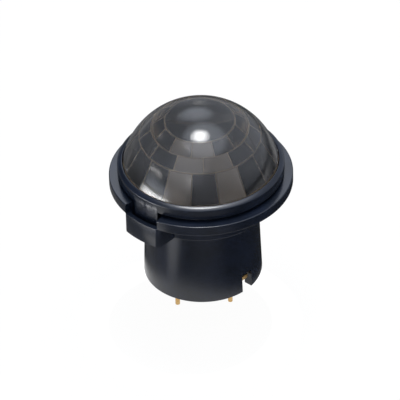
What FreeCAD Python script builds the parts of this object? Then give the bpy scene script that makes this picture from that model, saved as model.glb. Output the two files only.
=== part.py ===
"""Infrared motion sensor: a faceted dome lens over a metal-can heat detector.

Millimetres, +Z along the lens axis.  The origin is the centre of the skirt's
bottom rim, the plane of the circuit board that the sensor is soldered to.
-Y faces the viewer.  The three leads stand on the +X, +Y and -X axes.
"""
import FreeCAD, Part
import math
import os
from FreeCAD import Vector

# Housing, one black moulding, stacked up from the board
skirt_height = 8.25
skirt_wall = 0.91
skirt_draft_deg = 2.0
second_ring_height = 2.15
flange_thickness = 1.00
flange_width = 0.80
housing_edge_break = 0.12
bowl_depth = 3.70
bowl_floor_step = 0.40
lens_seat_rise = 0.50
lens_seat_width = 0.60

# Key slot in the skirt, which lines up with the header's tab
key_angle_deg = -45.0
key_side_clearance = 0.25
key_headroom = 0.70

# Latch pockets at the flange and the ring's legs that snap into them
latch_angles_deg = [-135.0, 45.0]
pocket_height = 2.10
pocket_wall = 0.48
pocket_side_clearance = 0.28
pocket_corner_round = 0.30
notch_side_clearance_deg = 2.7
latch_leg_deg = 21.0
latch_leg_thickness = 0.50
latch_leg_height = 2.95
latch_barb_reach = 0.28
latch_barb_height = 0.42
latch_barb_lead = 0.15
latch_clearance = 0.10
catch_depth = 0.60
catch_gap = 0.05

# Lens ring, which holds the lens down on its seat
ring_rise = 1.00
ring_side = 0.24
ring_edge_break = 0.20
ring_seam = 0.30
ring_clearance = 0.05
upstand_clearance = 0.12

# Lens, a dark polyethylene dome, smooth outside and faceted inside
lens_radius = 7.66
lens_centre_drop = 1.11
lens_wall = 0.55
lens_index = 1.53
facet_root = 0.26
facet_reach = 2.40
centre_facet_span_deg = 27.0
centre_facet_thickness = 1.82
# Each ring of facets: the polar angles of its end and of its facets' axes, the count,
# the thickness on the axis, and the turn in facets
facet_rings = [
    {"end_deg": 39.0, "axis_deg": 48.0, "count": 12, "thickness": 1.47, "turn": 0.0},
    {"end_deg": 51.0, "axis_deg": 46.5, "count": 12, "thickness": 0.90, "turn": 0.5},
    {"end_deg": 76.0, "axis_deg": 63.5, "count": 16, "thickness": 1.12, "turn": 0.0},
]

# Detector header and can
header_bottom_height = 1.10
header_thickness = 0.40
header_clearance = 0.15
header_platform_height = 0.60
seal_border = 0.46
weld_margin = 0.10
tab_width = 0.80
tab_reach = 0.72
can_wall = 0.25
can_platform_clearance = 0.15
can_flange_width = 0.35
can_flange_thickness = 0.25
can_top_break = 0.28
can_clearance = 0.05

# Leads and their glass seals
lead_radius = 0.225
lead_circle_radius = 2.54
lead_length_below = 4.50
lead_board_stand = 0.25
supply_angle_deg = 0.0
output_angle_deg = 90.0
ground_angle_deg = 180.0
seal_radius = 0.75

# Filter window in the can's roof
window_corner_round = 0.40
filter_overlap = 0.40
filter_thickness = 0.50
filter_element_gap = 0.55
roof_margin = 0.22
bond_width = 0.20
bond_height = 0.30

# Circuit inside the can
spacer_height = 1.90
spacer_wall = 0.40
spacer_lead_clearance = 0.185
board_thickness = 0.50
board_hole_clearance = 0.05
carrier_lead_clearance = 0.315
carrier_width = 3.00
carrier_height = 3.90
carrier_tunnel_width = 2.00
carrier_tunnel_height = 1.30
carrier_relief_width = 2.20
carrier_relief_depth = 0.50
element_end_inset = 0.40
element_width = 2.40
element_thickness = 0.20
chip_width = 1.60
chip_height = 0.40
passive_length = 1.00
passive_width = 0.50
capacitor_height = 0.50
resistor_height = 0.35
passive_row_reach = 2.20
passive_row_spread = 1.20

# Heights in the detector, worked out from the sizes above
header_top_height = header_bottom_height + header_thickness
platform_top_height = header_top_height + header_platform_height
board_bottom_height = platform_top_height + spacer_height
board_top_height = board_bottom_height + board_thickness
carrier_top_height = board_top_height + carrier_height
element_top_height = carrier_top_height + element_thickness
filter_bottom_height = element_top_height + filter_element_gap
can_seat_height = header_top_height + can_flange_thickness
can_roof_height = filter_bottom_height + filter_thickness
can_top_height = can_roof_height + can_wall

# Radii in the detector, from the leads outwards
header_platform_radius = lead_circle_radius + seal_radius + seal_border
can_inner_radius = header_platform_radius + can_platform_clearance
can_radius = can_inner_radius + can_wall
header_radius = can_radius + can_flange_width + weld_margin
header_bore_radius = header_radius + header_clearance
can_bore_radius = can_radius + can_clearance
spacer_bore_radius = lead_circle_radius + lead_radius + spacer_lead_clearance
board_radius = spacer_bore_radius + spacer_wall

# Widths of the filter, its window, the carrier and the element
bond_outer_width = math.sqrt(2) * (can_inner_radius - roof_margin)
filter_width = bond_outer_width - 2 * bond_width
window_width = filter_width - 2 * filter_overlap
carrier_length = 2 * (lead_circle_radius - lead_radius - carrier_lead_clearance)
element_length = carrier_length - 2 * element_end_inset

# Heights of the housing, the lens and its ring
flange_bottom_height = skirt_height + second_ring_height
flange_top_height = flange_bottom_height + flange_thickness
lens_seat_height = flange_top_height + lens_seat_rise
bowl_floor_height = lens_seat_height - bowl_depth
lens_centre_height = lens_seat_height - lens_centre_drop
lens_inner_radius = lens_radius - lens_wall
ring_bottom_height = flange_top_height + ring_seam
ring_top_height = lens_seat_height + ring_rise


def sphere_radius_at(height, radius):
    """Radius of a sphere about the lens's centre, cut at this height."""
    return math.sqrt(radius ** 2 - (height - lens_centre_height) ** 2)


# Radii, from the lens outwards and then down to the skirt
ring_radius = lens_radius + ring_side
ring_sphere_radius = lens_radius + ring_clearance
ring_bore_radius = sphere_radius_at(lens_seat_height, ring_sphere_radius)
ring_lip_radius = sphere_radius_at(ring_top_height, ring_sphere_radius)
upstand_radius = ring_bore_radius - upstand_clearance
seat_inner_radius = upstand_radius - lens_seat_width
flange_radius = ring_radius + flange_width
leg_inner_radius = ring_radius - latch_leg_thickness
notch_inner_radius = leg_inner_radius - latch_clearance
second_ring_radius = notch_inner_radius - catch_depth
bowl_floor_radius = can_bore_radius + bowl_floor_step
skirt_base_radius = header_bore_radius + skirt_wall
far = 4 * flange_radius

# Heights of the latch legs and what they hook under
leg_bottom_height = ring_bottom_height - latch_leg_height
barb_top_height = leg_bottom_height + latch_barb_lead + latch_barb_height
catch_bottom_height = barb_top_height + catch_gap

# Room around the legs and around the header's tab
leg_width = 2 * ring_radius * math.sin(math.radians(latch_leg_deg) / 2)
pocket_inner_width = leg_width + 2 * pocket_side_clearance
pocket_width = pocket_inner_width + 2 * pocket_wall
flange_notch_deg = latch_leg_deg + 2 * notch_side_clearance_deg
key_slot_width = tab_width + 2 * key_side_clearance
key_slot_height = header_top_height + key_headroom


def in_plane(radius, height):
    """A point of an outline drawn in the XZ plane."""
    return Vector(radius, 0, height)


def turned(shape, angle_deg):
    """The shape turned about the lens axis."""
    copy = shape.copy()
    copy.rotate(Vector(0, 0, 0), Vector(0, 0, 1), angle_deg)
    return copy


def at_angle(radius, angle_deg, height):
    """A point given by its radius and angle about the lens axis."""
    angle = math.radians(angle_deg)
    return Vector(radius * math.cos(angle), radius * math.sin(angle), height)


def broken_corner(before, corner, after, size):
    """The two ends of the chamfer that breaks one corner of an outline."""
    to_before = (before - corner).normalize()
    to_after = (after - corner).normalize()
    return [corner + to_before * size, corner + to_after * size]


def outline_edges(corners):
    """Edges of a closed outline; each corner is radius, height and, if broken, the chamfer."""
    points = [in_plane(radius, height) for radius, height, *broken in corners]
    path = []
    for index, (radius, height, *broken) in enumerate(corners):
        if broken:
            following = points[(index + 1) % len(points)]
            path += broken_corner(points[index - 1], points[index], following, broken[0])
        else:
            path.append(points[index])
    return [Part.makeLine(path[index - 1], path[index]) for index in range(len(path))]


def spun(edges, angle_deg=360.0):
    """A solid of revolution about the lens axis, centred on the XZ plane if partial."""
    face = Part.Face(Part.Wire(edges))
    solid = face.revolve(Vector(0, 0, 0), Vector(0, 0, 1), angle_deg)
    if angle_deg < 360.0:
        solid = turned(solid, -angle_deg / 2)
    return solid


def disc(radius, bottom, top):
    """An upright cylinder about the lens axis."""
    return Part.makeCylinder(radius, top - bottom, Vector(0, 0, bottom))


def block(length, width, bottom, top, centre_x=0.0, centre_y=0.0):
    """A box centred on a point, between two heights."""
    corner = Vector(centre_x - length / 2, centre_y - width / 2, bottom)
    return Part.makeBox(length, width, top - bottom, corner)


def radial_block(inner, outer, width, bottom, top):
    """A box that runs out along +X from one radius to another."""
    return Part.makeBox(outer - inner, width, top - bottom, Vector(inner, -width / 2, bottom))


def round_upright_edges(shape, radius, beyond=0.0):
    """Round the upright edges that lie further than this from the lens axis."""
    edges = []
    for edge in shape.Edges:
        start, end = edge.Vertexes[0].Point, edge.Vertexes[-1].Point
        upright = math.hypot(start.x - end.x, start.y - end.y) < 1e-6 and abs(start.z - end.z) > 1e-6
        if upright and math.hypot(start.x, start.y) > beyond:
            edges.append(edge)
    return shape.makeFillet(radius, edges)


def housing_body():
    """Skirt, second ring, flange and the upstand that carries the lens."""
    draft = math.tan(math.radians(skirt_draft_deg))
    skirt_top_radius = skirt_base_radius - skirt_height * draft
    return spun(outline_edges([
        (skirt_base_radius, 0),
        (skirt_top_radius, skirt_height),
        (second_ring_radius, skirt_height),
        (second_ring_radius, flange_bottom_height),
        (flange_radius, flange_bottom_height),
        (flange_radius, flange_top_height, housing_edge_break),
        (upstand_radius, flange_top_height),
        (upstand_radius, lens_seat_height),
        (seat_inner_radius, lens_seat_height),
        (bowl_floor_radius, bowl_floor_height),
        (can_bore_radius, bowl_floor_height),
        (can_bore_radius, can_seat_height),
        (header_bore_radius, can_seat_height),
        (header_bore_radius, 0),
    ]))


def latch_pocket():
    """The wall that stands off below the flange and guards a latch leg."""
    bottom = flange_bottom_height - pocket_height
    middle = (second_ring_radius + can_bore_radius) / 2
    outer = radial_block(middle, far, pocket_width, bottom, flange_bottom_height)
    outer = outer.common(disc(flange_radius, bottom, flange_bottom_height))
    return round_upright_edges(outer, pocket_corner_round, second_ring_radius)


def latch_pocket_space():
    """The room inside a pocket, open above and below."""
    bottom = skirt_height - pocket_height
    space = radial_block(0, far, pocket_inner_width, bottom, flange_bottom_height)
    space = space.common(disc(flange_radius - pocket_wall, bottom, flange_bottom_height))
    return space.cut(disc(second_ring_radius, bottom, flange_bottom_height))


def flange_notch():
    """The gap in the flange and upstand that a latch leg passes through."""
    return spun(outline_edges([
        (notch_inner_radius, flange_bottom_height),
        (far, flange_bottom_height),
        (far, ring_top_height),
        (notch_inner_radius, ring_top_height),
    ]), flange_notch_deg)


def latch_catch():
    """The rib inside a pocket that the leg's barb hooks under."""
    root = second_ring_radius - catch_depth / 2
    return spun(outline_edges([
        (root, catch_bottom_height),
        (notch_inner_radius, catch_bottom_height),
        (notch_inner_radius, flange_bottom_height),
        (root, flange_bottom_height),
    ]), latch_leg_deg)


def bowl_space():
    """The open cone around the can's top, under the lens."""
    return spun(outline_edges([
        (0, bowl_floor_height),
        (bowl_floor_radius, bowl_floor_height),
        (seat_inner_radius, lens_seat_height),
        (0, lens_seat_height),
    ]))


def housing():
    """The whole black body: a stepped barrel with two pockets and a key slot."""
    body = housing_body()
    for angle in latch_angles_deg:
        body = body.fuse(turned(latch_pocket(), angle))
        body = body.cut(turned(latch_pocket_space(), angle))
        body = body.cut(turned(flange_notch(), angle))
        body = body.fuse(turned(latch_catch(), angle))
    slot = radial_block(can_bore_radius, far, key_slot_width, -key_slot_height, key_slot_height)
    return body.cut(bowl_space()).cut(turned(slot, key_angle_deg)).removeSplitter()


def latch_leg():
    """A leg of the ring, with the barb that holds it under the catch."""
    return spun(outline_edges([
        (ring_radius, lens_seat_height),
        (ring_bore_radius, lens_seat_height),
        (ring_bore_radius, ring_bottom_height),
        (leg_inner_radius, ring_bottom_height),
        (leg_inner_radius, barb_top_height),
        (leg_inner_radius - latch_barb_reach, barb_top_height),
        (leg_inner_radius - latch_barb_reach, leg_bottom_height + latch_barb_lead),
        (leg_inner_radius, leg_bottom_height),
        (ring_radius, leg_bottom_height),
    ]), latch_leg_deg)


def lens_ring():
    """The collar around the dome, domed inside to match it, with two latch legs."""
    outside = spun(outline_edges([
        (0, ring_bottom_height),
        (ring_radius, ring_bottom_height),
        (ring_radius, ring_top_height, ring_edge_break),
        (0, ring_top_height),
    ]))
    dome = Part.makeSphere(ring_sphere_radius, in_plane(0, lens_centre_height))
    below_dome = disc(ring_bore_radius, ring_bottom_height, lens_seat_height)
    above_seat = disc(far, lens_seat_height, ring_top_height)
    collar = outside.cut(dome.common(above_seat).fuse(below_dome))
    legs = [turned(latch_leg(), angle) for angle in latch_angles_deg]
    return collar.fuse(legs).removeSplitter()


def on_lens(radius, polar_deg):
    """A point of the XZ plane given from the lens's centre."""
    polar = math.radians(polar_deg)
    return in_plane(radius * math.sin(polar), lens_centre_height + radius * math.cos(polar))


def lens_arc(radius, start_deg, end_deg):
    """An arc about the lens's centre, in the XZ plane."""
    middle = on_lens(radius, (start_deg + end_deg) / 2)
    return Part.Arc(on_lens(radius, start_deg), middle, on_lens(radius, end_deg)).toShape()


def facet_curve_radius(polar_deg):
    """Inner radius that focuses a facet on the sensing element, by the lensmaker's rule."""
    facet = on_lens(lens_radius, polar_deg)
    focal_length = (facet - in_plane(0, element_top_height)).Length
    power = 1 / ((lens_index - 1) * focal_length)
    return 1 / (power - 1 / lens_radius)


def ball(radius, centre):
    """A sphere whose poles lie sideways, off the dome, so that it meshes evenly."""
    return Part.makeSphere(radius, centre, Vector(0, 1, 0))


def lens_facet(start_deg, end_deg, width_deg, axis_deg, thickness):
    """One lenslet: a cell of the dome cut to a shallow bulge that faces inwards."""
    root = lens_inner_radius + facet_root
    tip = lens_radius - facet_reach
    sides = [lens_arc(root, start_deg, end_deg),
             Part.makeLine(on_lens(root, end_deg), on_lens(tip, end_deg)),
             lens_arc(tip, end_deg, start_deg),
             Part.makeLine(on_lens(tip, start_deg), on_lens(root, start_deg))]
    cell = spun(sides, width_deg)
    curve = facet_curve_radius(axis_deg)
    centre = on_lens(lens_radius - thickness + curve, axis_deg)
    return cell.common(ball(curve, centre))


def facet_ring(start_deg, ring):
    """One ring of facets, joined to each other."""
    pitch = 360.0 / ring["count"]
    facet = lens_facet(start_deg, ring["end_deg"], pitch, ring["axis_deg"], ring["thickness"])
    first, *others = [
        turned(facet, -90.0 + (index + ring["turn"]) * pitch) for index in range(ring["count"])]
    return first.fuse(others)


def lens():
    """The dome with one wide facet on top and three rings of facets around it."""
    facets = lens_facet(0, centre_facet_span_deg, 360.0, 0, centre_facet_thickness)
    start_deg = centre_facet_span_deg
    for ring in facet_rings:
        facets = facets.fuse(facet_ring(start_deg, ring))
        start_deg = ring["end_deg"]
    centre = in_plane(0, lens_centre_height)
    hollow = Part.makeSphere(lens_inner_radius, centre).cut(facets)
    above_seat = disc(far, lens_seat_height, lens_seat_height + far)
    dome = ball(lens_radius, centre).common(above_seat)
    return dome.cut(hollow).removeSplitter()


def seal_places():
    """Angles of the leads that pass through the header in glass."""
    return [supply_angle_deg, output_angle_deg]


def header():
    """The gold-plated base of the detector, with its locating tab."""
    flange = disc(header_radius, header_bottom_height, header_top_height)
    platform = disc(header_platform_radius, header_top_height, platform_top_height)
    tab = radial_block(0, header_radius + tab_reach, tab_width, header_bottom_height, header_top_height)
    base = flange.fuse([platform, turned(tab, key_angle_deg)])
    for angle in seal_places():
        place = at_angle(lead_circle_radius, angle, header_bottom_height)
        base = base.cut(Part.makeCylinder(seal_radius, platform_top_height, place))
    return base.removeSplitter()


def detector_cap():
    """The drawn metal can, with a weld flange and a square window."""
    can = spun(outline_edges([
        (can_radius + can_flange_width, header_top_height),
        (can_radius + can_flange_width, can_seat_height),
        (can_radius, can_seat_height),
        (can_radius, can_top_height, can_top_break),
        (0, can_top_height),
        (0, can_roof_height),
        (can_inner_radius, can_roof_height, can_top_break - can_wall / 2),
        (can_inner_radius, header_top_height),
    ]))
    window = block(window_width, window_width, can_roof_height - can_wall, can_top_height + can_wall)
    return can.cut(round_upright_edges(window, window_corner_round))


def infrared_filter():
    """The silicon window, under the can's roof."""
    return block(filter_width, filter_width, filter_bottom_height, can_roof_height)


def filter_bond():
    """The bead of adhesive around the filter, against the roof."""
    bottom = can_roof_height - bond_height
    bead = block(bond_outer_width, bond_outer_width, bottom, can_roof_height)
    return bead.cut(block(filter_width, filter_width, bottom, can_roof_height))


def insulated_lead(angle_deg):
    """A lead that runs through its seal and stands a little above the board."""
    return lead(angle_deg, board_top_height + lead_board_stand)


def lead(angle_deg, top_height):
    """A round wire whose cut tip stands below the skirt."""
    tip = at_angle(lead_circle_radius, angle_deg, -lead_length_below)
    return Part.makeCylinder(lead_radius, top_height + lead_length_below, tip)


def glass_seal(angle_deg):
    """The glass bead that holds and insulates one lead in the header."""
    place = at_angle(lead_circle_radius, angle_deg, header_bottom_height)
    height = platform_top_height - header_bottom_height
    bead = Part.makeCylinder(seal_radius, height, place)
    return bead.cut(Part.makeCylinder(lead_radius, height, place))


def board_spacer():
    """The insulating ring that keeps the board off the header."""
    ring = disc(board_radius, platform_top_height, board_bottom_height)
    return ring.cut(disc(spacer_bore_radius, platform_top_height, board_bottom_height))


def circuit_board():
    """The round board, drilled for the two insulated leads."""
    board = disc(board_radius, board_bottom_height, board_top_height)
    for angle in seal_places():
        place = at_angle(lead_circle_radius, angle, board_bottom_height)
        board = board.cut(Part.makeCylinder(lead_radius + board_hole_clearance, board_thickness, place))
    return board


def element_carrier():
    """The ceramic bridge over the chip, relieved on top so the element hangs free."""
    bridge = block(carrier_length, carrier_width, board_top_height, carrier_top_height)
    tunnel_top = board_top_height + carrier_tunnel_height
    tunnel = block(carrier_tunnel_width, far, board_top_height, tunnel_top)
    relief_bottom = carrier_top_height - carrier_relief_depth
    relief = block(carrier_relief_width, far, relief_bottom, carrier_top_height)
    return bridge.cut(tunnel).cut(relief)


def sensing_element():
    """The pyroelectric chip, laid across the carrier's two shoulders."""
    return block(element_length, element_width, carrier_top_height, element_top_height)


def amplifier_chip():
    """The amplifier, under the bridge."""
    return block(chip_width, chip_width, board_top_height, board_top_height + chip_height)


def passive(height, side_x, side_y):
    """A small chip part beside the carrier."""
    top = board_top_height + height
    place_x = side_x * passive_row_spread
    place_y = side_y * passive_row_reach
    return block(passive_length, passive_width, board_top_height, top, place_x, place_y)


def build():
    """Every piece of the sensor, by name."""
    return {
        "lens": lens(),
        "lens_ring": lens_ring(),
        "housing": housing(),
        "header": header(),
        "detector_cap": detector_cap(),
        "infrared_filter": infrared_filter(),
        "filter_bond": filter_bond(),
        "sensing_element": sensing_element(),
        "element_carrier": element_carrier(),
        "amplifier_chip": amplifier_chip(),
        "supply_capacitor": passive(capacitor_height, -1, -1),
        "output_capacitor": passive(capacitor_height, 1, -1),
        "bias_resistor": passive(resistor_height, -1, 1),
        "circuit_board": circuit_board(),
        "board_spacer": board_spacer(),
        "supply_seal": glass_seal(supply_angle_deg),
        "output_seal": glass_seal(output_angle_deg),
        "supply_lead": insulated_lead(supply_angle_deg),
        "output_lead": insulated_lead(output_angle_deg),
        "ground_lead": lead(ground_angle_deg, header_bottom_height),
    }


os.makedirs("parts", exist_ok=True)
for name, shape in build().items():
    shape.exportStep(os.path.join("parts", name + ".step"))
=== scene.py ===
import math

import bmesh
import bpy
from bpy.props import FloatProperty, FloatVectorProperty, PointerProperty
from mathutils import Matrix, Vector


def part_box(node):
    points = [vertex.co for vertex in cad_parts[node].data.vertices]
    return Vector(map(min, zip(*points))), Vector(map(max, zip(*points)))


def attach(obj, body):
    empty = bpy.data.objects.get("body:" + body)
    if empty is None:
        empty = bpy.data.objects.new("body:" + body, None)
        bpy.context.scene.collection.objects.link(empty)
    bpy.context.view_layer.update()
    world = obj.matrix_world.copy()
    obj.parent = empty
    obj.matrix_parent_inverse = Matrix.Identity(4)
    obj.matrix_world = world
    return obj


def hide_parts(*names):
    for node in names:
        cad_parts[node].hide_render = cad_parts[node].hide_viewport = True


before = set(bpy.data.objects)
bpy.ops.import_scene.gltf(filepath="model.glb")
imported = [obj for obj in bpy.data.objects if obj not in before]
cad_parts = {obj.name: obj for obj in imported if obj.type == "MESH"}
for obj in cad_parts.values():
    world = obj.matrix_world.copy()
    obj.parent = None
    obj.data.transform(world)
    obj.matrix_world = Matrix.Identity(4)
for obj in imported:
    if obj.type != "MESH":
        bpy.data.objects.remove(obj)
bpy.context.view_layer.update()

bl_info = {
    "name": "Infrared Motion Sensor",
    "version": (1, 0, 0),
    "blender": (4, 5, 0),
    "location": "3D View > Sidebar > Sensor",
    "description": "Builds and finishes a motion sensor with a faceted dome lens",
    "category": "Object",
}

MM = 0.001
BODY = "root"
RIM_STEPS = 256

# The dome's facets from the top down, as in the solids: the polar angles where a ring ends and of its
# facets' axes, their number, the turn in facets, the thickness on the axis, and the rows of its mesh
LENS_ZONES = [
    {"name": "Crown", "end": 27.0, "axis": 0.0, "count": 1, "turn": 0.0, "thickness": 1.82, "rows": 22},
    {"name": "Upper", "end": 39.0, "axis": 48.0, "count": 12, "turn": 0.0, "thickness": 1.47, "rows": 12},
    {"name": "Middle", "end": 51.0, "axis": 46.5, "count": 12, "turn": 0.5, "thickness": 0.90, "rows": 12},
    {"name": "Lower", "end": 76.0, "axis": 63.5, "count": 16, "turn": 0.0, "thickness": 1.12, "rows": 20},
]
HEM_ROWS = 4
SKIN_ROWS = 80
DOME_COLUMNS = 384

# Sizes of the lens ring and the housing in millimetres, as in the solids. Only the key slot's top is lower,
# because the photograph shows the header's tab right under it.
DOME_CENTRE = 10.79
SEAT_HEIGHT = 11.9
RING_SPHERE = 7.71
RING_RADIUS = 7.9
RING_BOTTOM = 11.7
RING_TOP = 12.9
LEG_INNER = 7.4
LEG_BOTTOM = 8.75
BARB_INNER = 7.12
BARB_TOP = 9.32
BARB_BOTTOM = 8.9
BARREL_RADIUS = 6.70
SKIRT_HEIGHT = 8.25
FLANGE_BOTTOM = 10.4
FLANGE_TOP = 11.4
UPSTAND_RADIUS = 7.51
BOWL_FLOOR = 8.20
CAN_BORE = 4.20
HEADER_BORE = 4.75
HEADER_ROOM = 1.75
SLOT_ANGLE = -45.0
SLOT_HALF = 0.65
SLOT_START = 4.3
SLOT_TOP = 2.0
LATCH_ANGLES = (-135.0, 45.0)
LATCH_DEG = 21.0
NOTCH_DEG = 26.4
LATCH_STEPS = 24
BEYOND = 12.0

# Places and directions on the stage
FLOOR_HALF = 1.5
OVERHEAD = Vector((0.0, 18.0, 215.0)) * MM
LIGHT_TARGET = Vector((0.0, 0.0, 11.0)) * MM
CAMERA_TARGET = Vector((0.0, 0.0, 11.4)) * MM
SHIFT_RIGHT = 0.09
SHIFT_UP = 2.74
LEFTWARD = (-0.927, -0.375, 0.0)
LEFT_EDGE = 0.90


# Small helpers

def linear(code):
    """An sRGB hex colour as linear red, green, blue and alpha."""
    values = [int(code[place:place + 2], 16) / 255 for place in (0, 2, 4)]
    straight = [value / 12.92 if value <= 0.04045 else ((value + 0.055) / 1.055) ** 2.4 for value in values]
    return (*straight, 1.0)


def add(tree, kind, inputs=(), **settings):
    """Add one node with its settings, and fill or link its inputs by place or by name."""
    node = tree.nodes.new(kind)
    for name, value in settings.items():
        setattr(node, name, value)
    for key, value in inputs.items() if isinstance(inputs, dict) else enumerate(inputs):
        if isinstance(value, bpy.types.Node):
            value = value.outputs[0]
        if isinstance(value, bpy.types.NodeSocket):
            tree.links.new(value, node.inputs[key])
        else:
            node.inputs[key].default_value = value
    return node


def new_material(name):
    """An empty node material with an output."""
    material = bpy.data.materials.new(name)
    material.use_nodes = True
    material.node_tree.nodes.clear()
    return material, material.node_tree


def surface(tree, shader, volume=None):
    """Join a shader, and a volume if there is one, to the material's output."""
    output = add(tree, "ShaderNodeOutputMaterial", {"Surface": shader})
    if volume:
        tree.links.new(volume.outputs[0], output.inputs["Volume"])


def speckle(tree, size_mm, low, high, detail=3.0):
    """A noise of that grain size on object coordinates, spread between two values."""
    place = add(tree, "ShaderNodeTexCoord").outputs["Object"]
    noise = add(tree, "ShaderNodeTexNoise", {"Vector": place, "Scale": 1 / (size_mm * MM), "Detail": detail})
    return add(tree, "ShaderNodeMapRange", {"Value": noise, "To Min": low, "To Max": high})


def grain(tree, size_mm, height_mm, strength=1.0):
    """A bump normal from a noise of that grain size and height."""
    height = speckle(tree, size_mm, 0.0, 1.0)
    return add(tree, "ShaderNodeBump", {"Height": height, "Distance": height_mm * MM, "Strength": strength})


def tinted(tree, size_mm, first, second):
    """Two linear colours mixed by a noise of that grain size."""
    amount = speckle(tree, size_mm, 0.0, 1.0)
    ramp = add(tree, "ShaderNodeValToRGB", {"Fac": amount})
    ramp.color_ramp.elements[0].position, ramp.color_ramp.elements[0].color = 0.35, first
    ramp.color_ramp.elements[1].position, ramp.color_ramp.elements[1].color = 0.65, second
    return ramp


# Materials

def moulded_black_plastic(name, settings, roughness):
    """Black ABS from a polished mould: a deep blue-black with a soft sheen and a faint ripple."""
    material, tree = new_material(name)
    shader = add(tree, "ShaderNodeBsdfPrincipled", {
        "Base Color": tinted(tree, 2.4, tuple(settings.plastic_dark), tuple(settings.plastic_light)),
        "Roughness": speckle(tree, 0.6, roughness - 0.03, roughness + 0.03),
        "IOR": 1.54,
        "Normal": grain(tree, 0.35, 0.0012),
    })
    surface(tree, shader)
    return material


def smoked_polyethylene(settings):
    """Injection-moulded polyethylene with a smoke dye: clear but milky, darker where it is thick.

    The milkiness is a thin scatter at each face. Towards the hem its share falls almost to nothing, a
    painted shade for the ring's shadow on the dome. The mould's seams between facets scatter more, in a paler
    warm colour, partly real and partly a painted highlight for the light that the rounded facet edges catch.
    """
    material, tree = new_material("Smoked polyethylene, moulded")
    seam = add(tree, "ShaderNodeAttribute", attribute_name="seam").outputs["Fac"]
    clear = add(tree, "ShaderNodeBsdfPrincipled", {
        "Base Color": tuple(settings.smoke_surface),
        "Roughness": settings.smoke_roughness,
        "IOR": settings.index,
        "Transmission Weight": 1.0,
    })
    # The seams' paler warm scatter is partly real and partly a painted highlight for the light that the
    # rounded facet edges catch
    scatter = add(tree, "ShaderNodeMix", {
        6: tuple(settings.haze_colour), 7: tuple(settings.seam_and_glint_colour), "Factor": seam}, data_type="RGBA")
    milky = add(tree, "ShaderNodeBsdfDiffuse", {"Color": scatter.outputs[2]})
    place = add(tree, "ShaderNodeTexCoord").outputs["Object"]
    height = add(tree, "ShaderNodeSeparateXYZ", (place,)).outputs["Z"]
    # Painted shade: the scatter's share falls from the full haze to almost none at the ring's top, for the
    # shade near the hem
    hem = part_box("lens_ring")[1].z
    haze_with_painted_hem_shade = add(tree, "ShaderNodeMapRange", {
        "Value": height, "From Min": hem, "From Max": hem + settings.hem_fade,
        "To Min": settings.hem_haze_painted_shade, "To Max": settings.haze})
    share = add(tree, "ShaderNodeMath", (seam, settings.seam_haze_and_glint, haze_with_painted_hem_shade), operation="MULTIPLY_ADD")
    smoke = add(tree, "ShaderNodeVolumeAbsorption", {
        "Color": tuple(settings.smoke_tint), "Density": settings.smoke_density})
    surface(tree, add(tree, "ShaderNodeMixShader", (share, clear, milky)), smoke)
    return material


def gold_plate():
    """Electroplated gold over a nickel-iron alloy: warm metal, a little hazy from the drawn wire."""
    material, tree = new_material("Gold plate, electroplated")
    shader = add(tree, "ShaderNodeBsdfPrincipled", {
        "Base Color": tinted(tree, 0.5, linear("EFC07C"), linear("FBD698")),
        "Metallic": 1.0,
        "Roughness": speckle(tree, 0.12, 0.2, 0.34),
        "Normal": grain(tree, 0.08, 0.001),
    })
    surface(tree, shader)
    return material


def nickel_plate():
    """Nickel over deep-drawn steel: satin grey metal with fine upright draw marks."""
    material, tree = new_material("Nickel plate on drawn steel")
    place = add(tree, "ShaderNodeTexCoord").outputs["Object"]
    mark_width, mark_length = 0.2 * MM, 10 / 3 * MM
    drawn = add(tree, "ShaderNodeMapping", {
        "Vector": place, "Scale": (1 / mark_width, 1 / mark_width, 1 / mark_length)})
    marks = add(tree, "ShaderNodeTexNoise", {"Vector": drawn, "Scale": 1.0, "Detail": 2.0})
    shader = add(tree, "ShaderNodeBsdfPrincipled", {
        "Base Color": tinted(tree, 1.2, linear("BFB5A8"), linear("D0C7BA")),
        "Metallic": 1.0,
        "Roughness": add(tree, "ShaderNodeMapRange", {"Value": marks, "To Min": 0.44, "To Max": 0.54}),
        "Normal": add(tree, "ShaderNodeBump", {"Height": marks, "Distance": 0.0006 * MM}),
    })
    surface(tree, shader)
    return material


def coated_silicon():
    """Polished silicon with an interference coating: a dark mirror with a faint violet cast."""
    material, tree = new_material("Coated silicon, polished")
    shader = add(tree, "ShaderNodeBsdfPrincipled", {
        "Base Color": tinted(tree, 3.0, linear("2A2628"), linear("332E2E")),
        "Metallic": 0.6,
        "Roughness": speckle(tree, 0.4, 0.06, 0.12),
    })
    surface(tree, shader)
    return material


def plain_solid(name, size_mm, first, second, roughness, grain_mm):
    """A matt or satin solid with a two-tone grain, such as a ceramic, an epoxy or a laminate."""
    material, tree = new_material(name)
    shader = add(tree, "ShaderNodeBsdfPrincipled", {
        "Base Color": tinted(tree, size_mm, linear(first), linear(second)),
        "Roughness": speckle(tree, size_mm, roughness - 0.06, roughness + 0.06),
        "Normal": grain(tree, grain_mm, 0.003),
    })
    surface(tree, shader)
    return material


def seal_glass():
    """Fused sealing glass: dark blue-grey and glossy, with a few pale specks."""
    material, tree = new_material("Sealing glass, fused")
    shader = add(tree, "ShaderNodeBsdfPrincipled", {
        "Base Color": tinted(tree, 0.3, linear("1D2730"), linear("2B3843")),
        "Roughness": speckle(tree, 0.5, 0.06, 0.14),
        "IOR": 1.52,
    })
    surface(tree, shader)
    return material


# Mesh tools

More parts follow.
